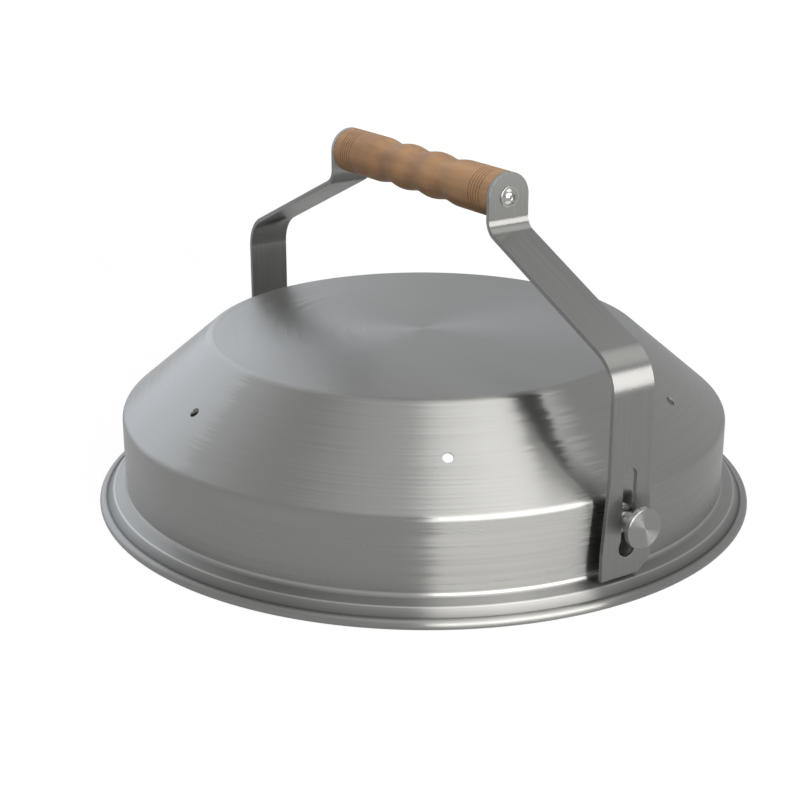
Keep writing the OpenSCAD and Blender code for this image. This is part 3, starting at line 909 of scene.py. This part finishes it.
def oiled_beech():
    """Turned beech, oiled and sanded smooth: fine pores and ray flecks drawn out along the grain, which
    runs along X, soft bands of growth across it, and a low sheen. The turned grooves are painted
    darker, as painted shade: there the radius is small and the place is near an end."""
    material, add, place = new_material("oiled_turned_beech")
    noises = []
    for length, width, detail in ((90 * MM, 9 * MM, 3), (25 * MM, 12 * MM, 2), (5 * MM, 0.45 * MM, 2)):
        drawn = add("ShaderNodeMapping", {"Vector": place, "Scale": (1 / length, 1 / width, 1 / width)})
        noises.append(add("ShaderNodeTexNoise",
                          {"Vector": drawn, "Scale": 1, "Detail": detail, "Roughness": 0.6}))
    growth, mottle, flecks = noises
    tones = add("ShaderNodeValToRGB", {"Fac": growth},
                [(0.32, linear("#997657")), (0.7, linear("#B8906B"))])
    from_axis = add("ShaderNodeVectorMath", {0: place, 1: (0, 0, GRIP_H)}, operation="SUBTRACT")
    radial = add("ShaderNodeVectorMath", {0: from_axis, 1: (0, 1, 1)}, operation="MULTIPLY")
    radius = add("ShaderNodeVectorMath", {0: radial}, operation="LENGTH").outputs["Value"]
    # What each value drives, and between which two bounds
    mottled, pores, painted_groove_shade, rough = (
        add("ShaderNodeMapRange",
            {"Value": value, "From Min": low, "From Max": high, "To Min": start, "To Max": stop})
        for value, low, high, start, stop in (
            (mottle, NOISE_LOW, NOISE_HIGH, 0.9, 1.08), (flecks, 0.28, 0.42, 0.86, 1),
            (radius, GRIP_R - 0.25 * MM, GRIP_R - 0.02 * MM, 0.25, 1), (flecks, 0, 1, 0.6, 0.46)))
    tone = add("ShaderNodeMath", {0: mottled, 1: pores}, operation="MULTIPLY")
    along = add("ShaderNodeSeparateXYZ", {0: place})
    along = add("ShaderNodeMath", {0: along}, operation="ABSOLUTE")
    # Painted shade: the turned grooves near both ends are painted darker where the radius is small
    near_end = add("ShaderNodeMath", {0: along, 1: GROOVES_FROM}, operation="GREATER_THAN")
    groove = add("ShaderNodeMix", {"Factor": near_end, "A": 1.0, "B": painted_groove_shade})
    tone = add("ShaderNodeMath", {0: tone, 1: groove}, operation="MULTIPLY")
    colour = add("ShaderNodeVectorMath", {0: tones, "Scale": tone}, operation="SCALE")
    bump = add("ShaderNodeBump", {"Strength": 0.35, "Distance": 0.06 * MM, "Height": flecks})
    wood = add("ShaderNodeBsdfPrincipled",
               {"Specular IOR Level": 0.3, "IOR": 1.45, "Base Color": colour, "Roughness": rough,
                "Normal": bump})
    add("ShaderNodeOutputMaterial", {"Surface": wood})
    return material


# Studio

# Light on matt faces from the horizon down and from straight above, and the sky in reflections
AMBIENT = (0.074, 0.666)
PALE = 0.53
# Soft pools of light in the reflections: azimuth, elevation, inner and outer width in degrees, and strength
POOLS = ((-20, 72, 5, 42, 0.5), (184, 22, 15, 48, 0.45), (85, 35, 10, 50, 0.07))
# Lamps: name, azimuth, elevation, distance, width, height, radiance, colour, and whether they are mirrored
SOFTBOXES = (("softbox_right", -5, 16, 1.6, 1.6, 1.0, 5.0, "#FFFDFA", True),
             ("softbox_high", 22, 62, 1.6, 1.2, 1.2, 1.0, "#FFFDFA", True),
             ("softbox_left", 182, 20, 1.8, 2.1, 1.3, 0.35, "#F0F7FF", True),
             ("softbox_front", -65, 54, 1.6, 1.0, 0.8, 2.2, "#FFFFFF", False))

# The floor's albedo and glow in reflections, and its albedo otherwise
FLOOR_ALBEDO = 0.29
FLOOR_SHINE = 0.3
FLOOR_DIM = 0.1
# Its further glow by the distance from the hood's axis, up to FLOOR_REACH: in the picture, where it is full
# under the hood, so that the vents are white, and on matt faces and in reflections
FLOOR_REACH = 2
UNDER_R = WALL_R - 4 * MM
SEEN_GLOW = ((UNDER_R, 1), (UNDER_R + MM, 0.92), (0.7, 0.92), (1.3, 1))
UNDER_GLOW = ((UNDER_R, 0.12), (UNDER_R + MM, 0))
FLOOR_HALF = 40
# A painted pool of light on the floor behind the left arm, seen only in reflections: the arm's underside
# mirrors it
GLOW_POOL_AT = (-0.44, 0.22, 0)
GLOW_POOL_INNER_R = 0.1
GLOW_POOL_OUTER_R = 0.34
GLOW_POOL_SHINE = 0.68


def direction(azimuth, elevation):
    """Unit vector at an azimuth from X and an elevation, both in degrees."""
    azimuth, elevation = math.radians(azimuth), math.radians(elevation)
    return round_z(math.cos(elevation), math.sin(elevation), azimuth)


def aim(made, at, right, back):
    """Puts a lamp or a camera at a place, with its X axis to the right and its Z axis backwards."""
    turn = np.stack([right, np.cross(back, right), back], axis=1)
    made.matrix_world = Matrix.Translation(at) @ Matrix(turn.tolist()).to_4x4()


def softbox(name, azimuth, elevation, distance, width, height, radiance, colour, is_mirrored):
    """A lamp of even radiance that faces the hood. Its power is radiance * pi * area."""
    away = direction(azimuth, elevation)
    lamp = bpy.data.lights.new(name, "AREA")
    lamp.shape = "RECTANGLE"
    lamp.color = linear(colour)[:3]
    lamp.size, lamp.size_y = width, height
    lamp.energy = radiance * math.pi * width * height
    made = new_object(name, lamp)
    centre = np.array([0, 0, HOOD_H / 2])
    aim(made, centre + distance * away, unit(np.cross([0, 0, 1], away)), away)
    made.visible_camera = False
    made.visible_glossy = is_mirrored


def studio_world():
    """White to the camera, pale with soft pools of light to reflections, cooler on the left, and a dim
    light that grows with the height to matt faces."""
    bpy.context.scene.world, add = cleared(bpy.data.worlds.new("studio"))
    path = add("ShaderNodeLightPath").outputs
    ray = add("ShaderNodeMath", {0: path["Is Glossy Ray"], 1: path["Is Transmission Ray"]},
              operation="MAXIMUM")
    way = add("ShaderNodeTexCoord").outputs["Generated"]
    parts = add("ShaderNodeSeparateXYZ", {0: way}).outputs
    ambient = add("ShaderNodeMapRange",
                  {"Value": parts["Z"], "To Min": AMBIENT[0], "To Max": AMBIENT[1]})
    pale = PALE
    for azimuth, elevation, inner, outer, glow in POOLS:
        nearness = add("ShaderNodeVectorMath", {0: way, 1: direction(azimuth, elevation)},
                       operation="DOT_PRODUCT").outputs["Value"]
        far, near = (math.cos(math.radians(width)) for width in (outer, inner))
        pool = add("ShaderNodeMapRange",
                   {"Value": nearness, "From Min": far, "From Max": near, "To Max": glow},
                   interpolation_type="SMOOTHSTEP")
        pale = add("ShaderNodeMath", {0: pale, 1: pool}, operation="ADD")
    soft = add("ShaderNodeMix", {"Factor": ray, "A": ambient, "B": pale})
    strength = add("ShaderNodeMix", {"Factor": path["Is Camera Ray"], "A": soft, "B": 1.0})
    tint = linear("#FFFFFF")
    left = add("ShaderNodeMapRange", {"Value": parts["X"], "From Min": -0.5, "From Max": -1})
    for share, colour in ((left, "#F0F6FF"), (path["Is Camera Ray"], "#FFFFFF")):
        tint = add("ShaderNodeMix", {"Factor": share, "A": tint, "B": linear(colour)},
                   data_type="RGBA").outputs[2]
    back = add("ShaderNodeBackground", {"Color": tint, "Strength": strength})
    add("ShaderNodeOutputWorld", {"Surface": back})


def pale_floor():
    """A matt floor that glows, by its distance from the hood's axis and by the kind of ray."""
    material, add, place = new_material("pale_floor")
    path = add("ShaderNodeLightPath").outputs
    from_hood = add("ShaderNodeVectorMath", {0: place}, operation="LENGTH").outputs["Value"]
    share = add("ShaderNodeMath", {0: from_hood, 1: 1 / FLOOR_REACH}, operation="MULTIPLY")
    seen, under = (
        add("ShaderNodeValToRGB", {"Fac": share},
            [(distance / FLOOR_REACH, (value, value, value, 1)) for distance, value in stops])
        for stops in (SEEN_GLOW, UNDER_GLOW))
    # Painted light: a pool of glow on the floor behind the left arm, seen only by glossy rays
    off_glow_pool = add("ShaderNodeVectorMath", {0: place, 1: GLOW_POOL_AT},
                   operation="DISTANCE").outputs["Value"]
    glow_pool = add("ShaderNodeMapRange",
               {"Value": off_glow_pool, "From Min": GLOW_POOL_OUTER_R, "From Max": GLOW_POOL_INNER_R,
                "To Min": FLOOR_SHINE, "To Max": GLOW_POOL_SHINE}, interpolation_type="SMOOTHSTEP")
    shine = add("ShaderNodeMath", {0: glow_pool, 1: path["Is Glossy Ray"]}, operation="MULTIPLY")
    other = add("ShaderNodeMath", {0: shine, 1: under}, operation="ADD")
    strength = add("ShaderNodeMix", {"Factor": path["Is Camera Ray"], "A": other, "B": seen})
    albedo = add("ShaderNodeMix", {"Factor": path["Is Glossy Ray"], "A": FLOOR_DIM, "B": FLOOR_ALBEDO})
    matt = add("ShaderNodeBsdfDiffuse", {"Color": albedo})
    fill = add("ShaderNodeEmission", {"Color": linear("#FFFFFF"), "Strength": strength})
    both = add("ShaderNodeAddShader", {0: matt, 1: fill})
    add("ShaderNodeOutputMaterial", {"Surface": both})
    mesh = bpy.data.meshes.new("floor")
    corners = [(x * FLOOR_HALF, y * FLOOR_HALF, 0) for x, y in ((-1, -1), (1, -1), (1, 1), (-1, 1))]
    mesh.from_pydata(corners, [], [(0, 1, 2, 3)])
    mesh.materials.append(material)
    floor = new_object("floor", mesh)
    floor.location.z = -SEAT_GAP


def camera():
    """The photograph's viewpoint, lens and tilt."""
    data = bpy.data.cameras.new("camera")
    data.lens, data.sensor_width = CAMERA_LENS_MM, SENSOR_MM
    data.clip_start, data.clip_end = 0.01, 200
    made = bpy.context.scene.camera = new_object("camera", data)
    right = unit(np.array(CAMERA_RIGHT))
    aim(made, CAMERA_AT, right, unit(np.cross(right, np.array(CAMERA_UP))))


bpy.context.scene.view_settings.view_transform = "Standard"
camera()
studio_world()
for lamp in SOFTBOXES:
    softbox(*lamp)
pale_floor()

sheet_steel = brushed_steel("spun_brushed_stainless_sheet", "#A0A09E", "round z", roughness=0.28)
top_steel = brushed_steel("spun_brushed_stainless_top", "#A0A09E", "round z", roughness=0.36, anisotropy=0.6,
                          uneven=0.03, fray=0.008)
# Millimetres from the rim's groove up or down the sheet, and how bright its colour is painted there: a
# painted highlight on the bend at the wall's foot and on the edge between flange and skirt, painted shade on
# the skirt and in the groove
RIM_PAINTED_LIGHT = ((-17.3, 1), (-16.9, 1.5), (-16, 1.5), (-15, 0.95), (-7.5, 0.95), (-7.1, 1.5), (-6.4, 1.5),
             (-5.9, 0.92), (-1, 0.6), (0, 0.35), (1.4, 1))
groove_at = hood_profile({})[3]
# The rim's colour, a shade darker than the sheet's, is painted shade
rim_steel = brushed_steel("rolled_stainless_rim", "#9A9A98", "round z", roughness=0.31, bump_h=0,
                          uneven=0.01, fray=0.006,
                          bands=[(groove_at + at * MM, value) for at, value in RIM_PAINTED_LIGHT])
bar_steel = brushed_steel("lengthwise_brushed_stainless_bar", "#A1A19F", "along", roughness=0.4,
                          streak_l=150 * MM, streak_w=1.2 * MM, fray=0.05, tone=0.04)
pivot = (0, 0, PIVOT_H)
knob_steel = brushed_steel("turned_stainless_knob", "#A2A2A0", "round x", pivot, roughness=0.24,
                           streak_l=20 * MM, streak_w=0.5 * MM)
plain_steel = brushed_steel("plain_stainless_fastener", "#9C9C9A", "round x", pivot, roughness=0.4,
                            anisotropy=0.5, streak_l=12 * MM, streak_w=0.4 * MM)
screw_steel = polished_steel()
insert_brass = machined_brass()
grip_beech = oiled_beech()

hood_top, hood_side, hood_rim = hood_patches()
piece("spun_hood", {sheet_steel: hood_side, top_steel: hood_top, rim_steel: hood_rim}, "hood", "hood_sheet",
      "dome_shell")
for side, placed in (("right", list), ("left", mirrored)):
    for name, steel, patches, body, slot, node in (
            ("flat_bar", bar_steel, bar_patches, "handle", "handle_bar", "arm"),
            ("thumb_knob", knob_steel, knob_patches, f"{side}_knob", "turned_knob", "knob"),
            ("hexagon_nut", plain_steel, nut_patches, "hood", "fastener_steel", "weld_nut"),
            ("thin_washer", plain_steel, washer_patches, "slip_washers", "fastener_steel", "slip_washer"),
            ("button_screw", screw_steel, grip_screw_patches, "handle", "grip_screw", "grip_screw")):
        piece(f"{name}_{side}", {steel: placed(patches())}, body, slot, f"{node}_{side}")
    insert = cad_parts[f"grip_insert_{side}"]
    insert.data.materials.clear()
    insert.data.materials.append(insert_brass)
piece("turned_grip", {grip_beech: grip_patches()}, "handle", "grip_wood", "grip")
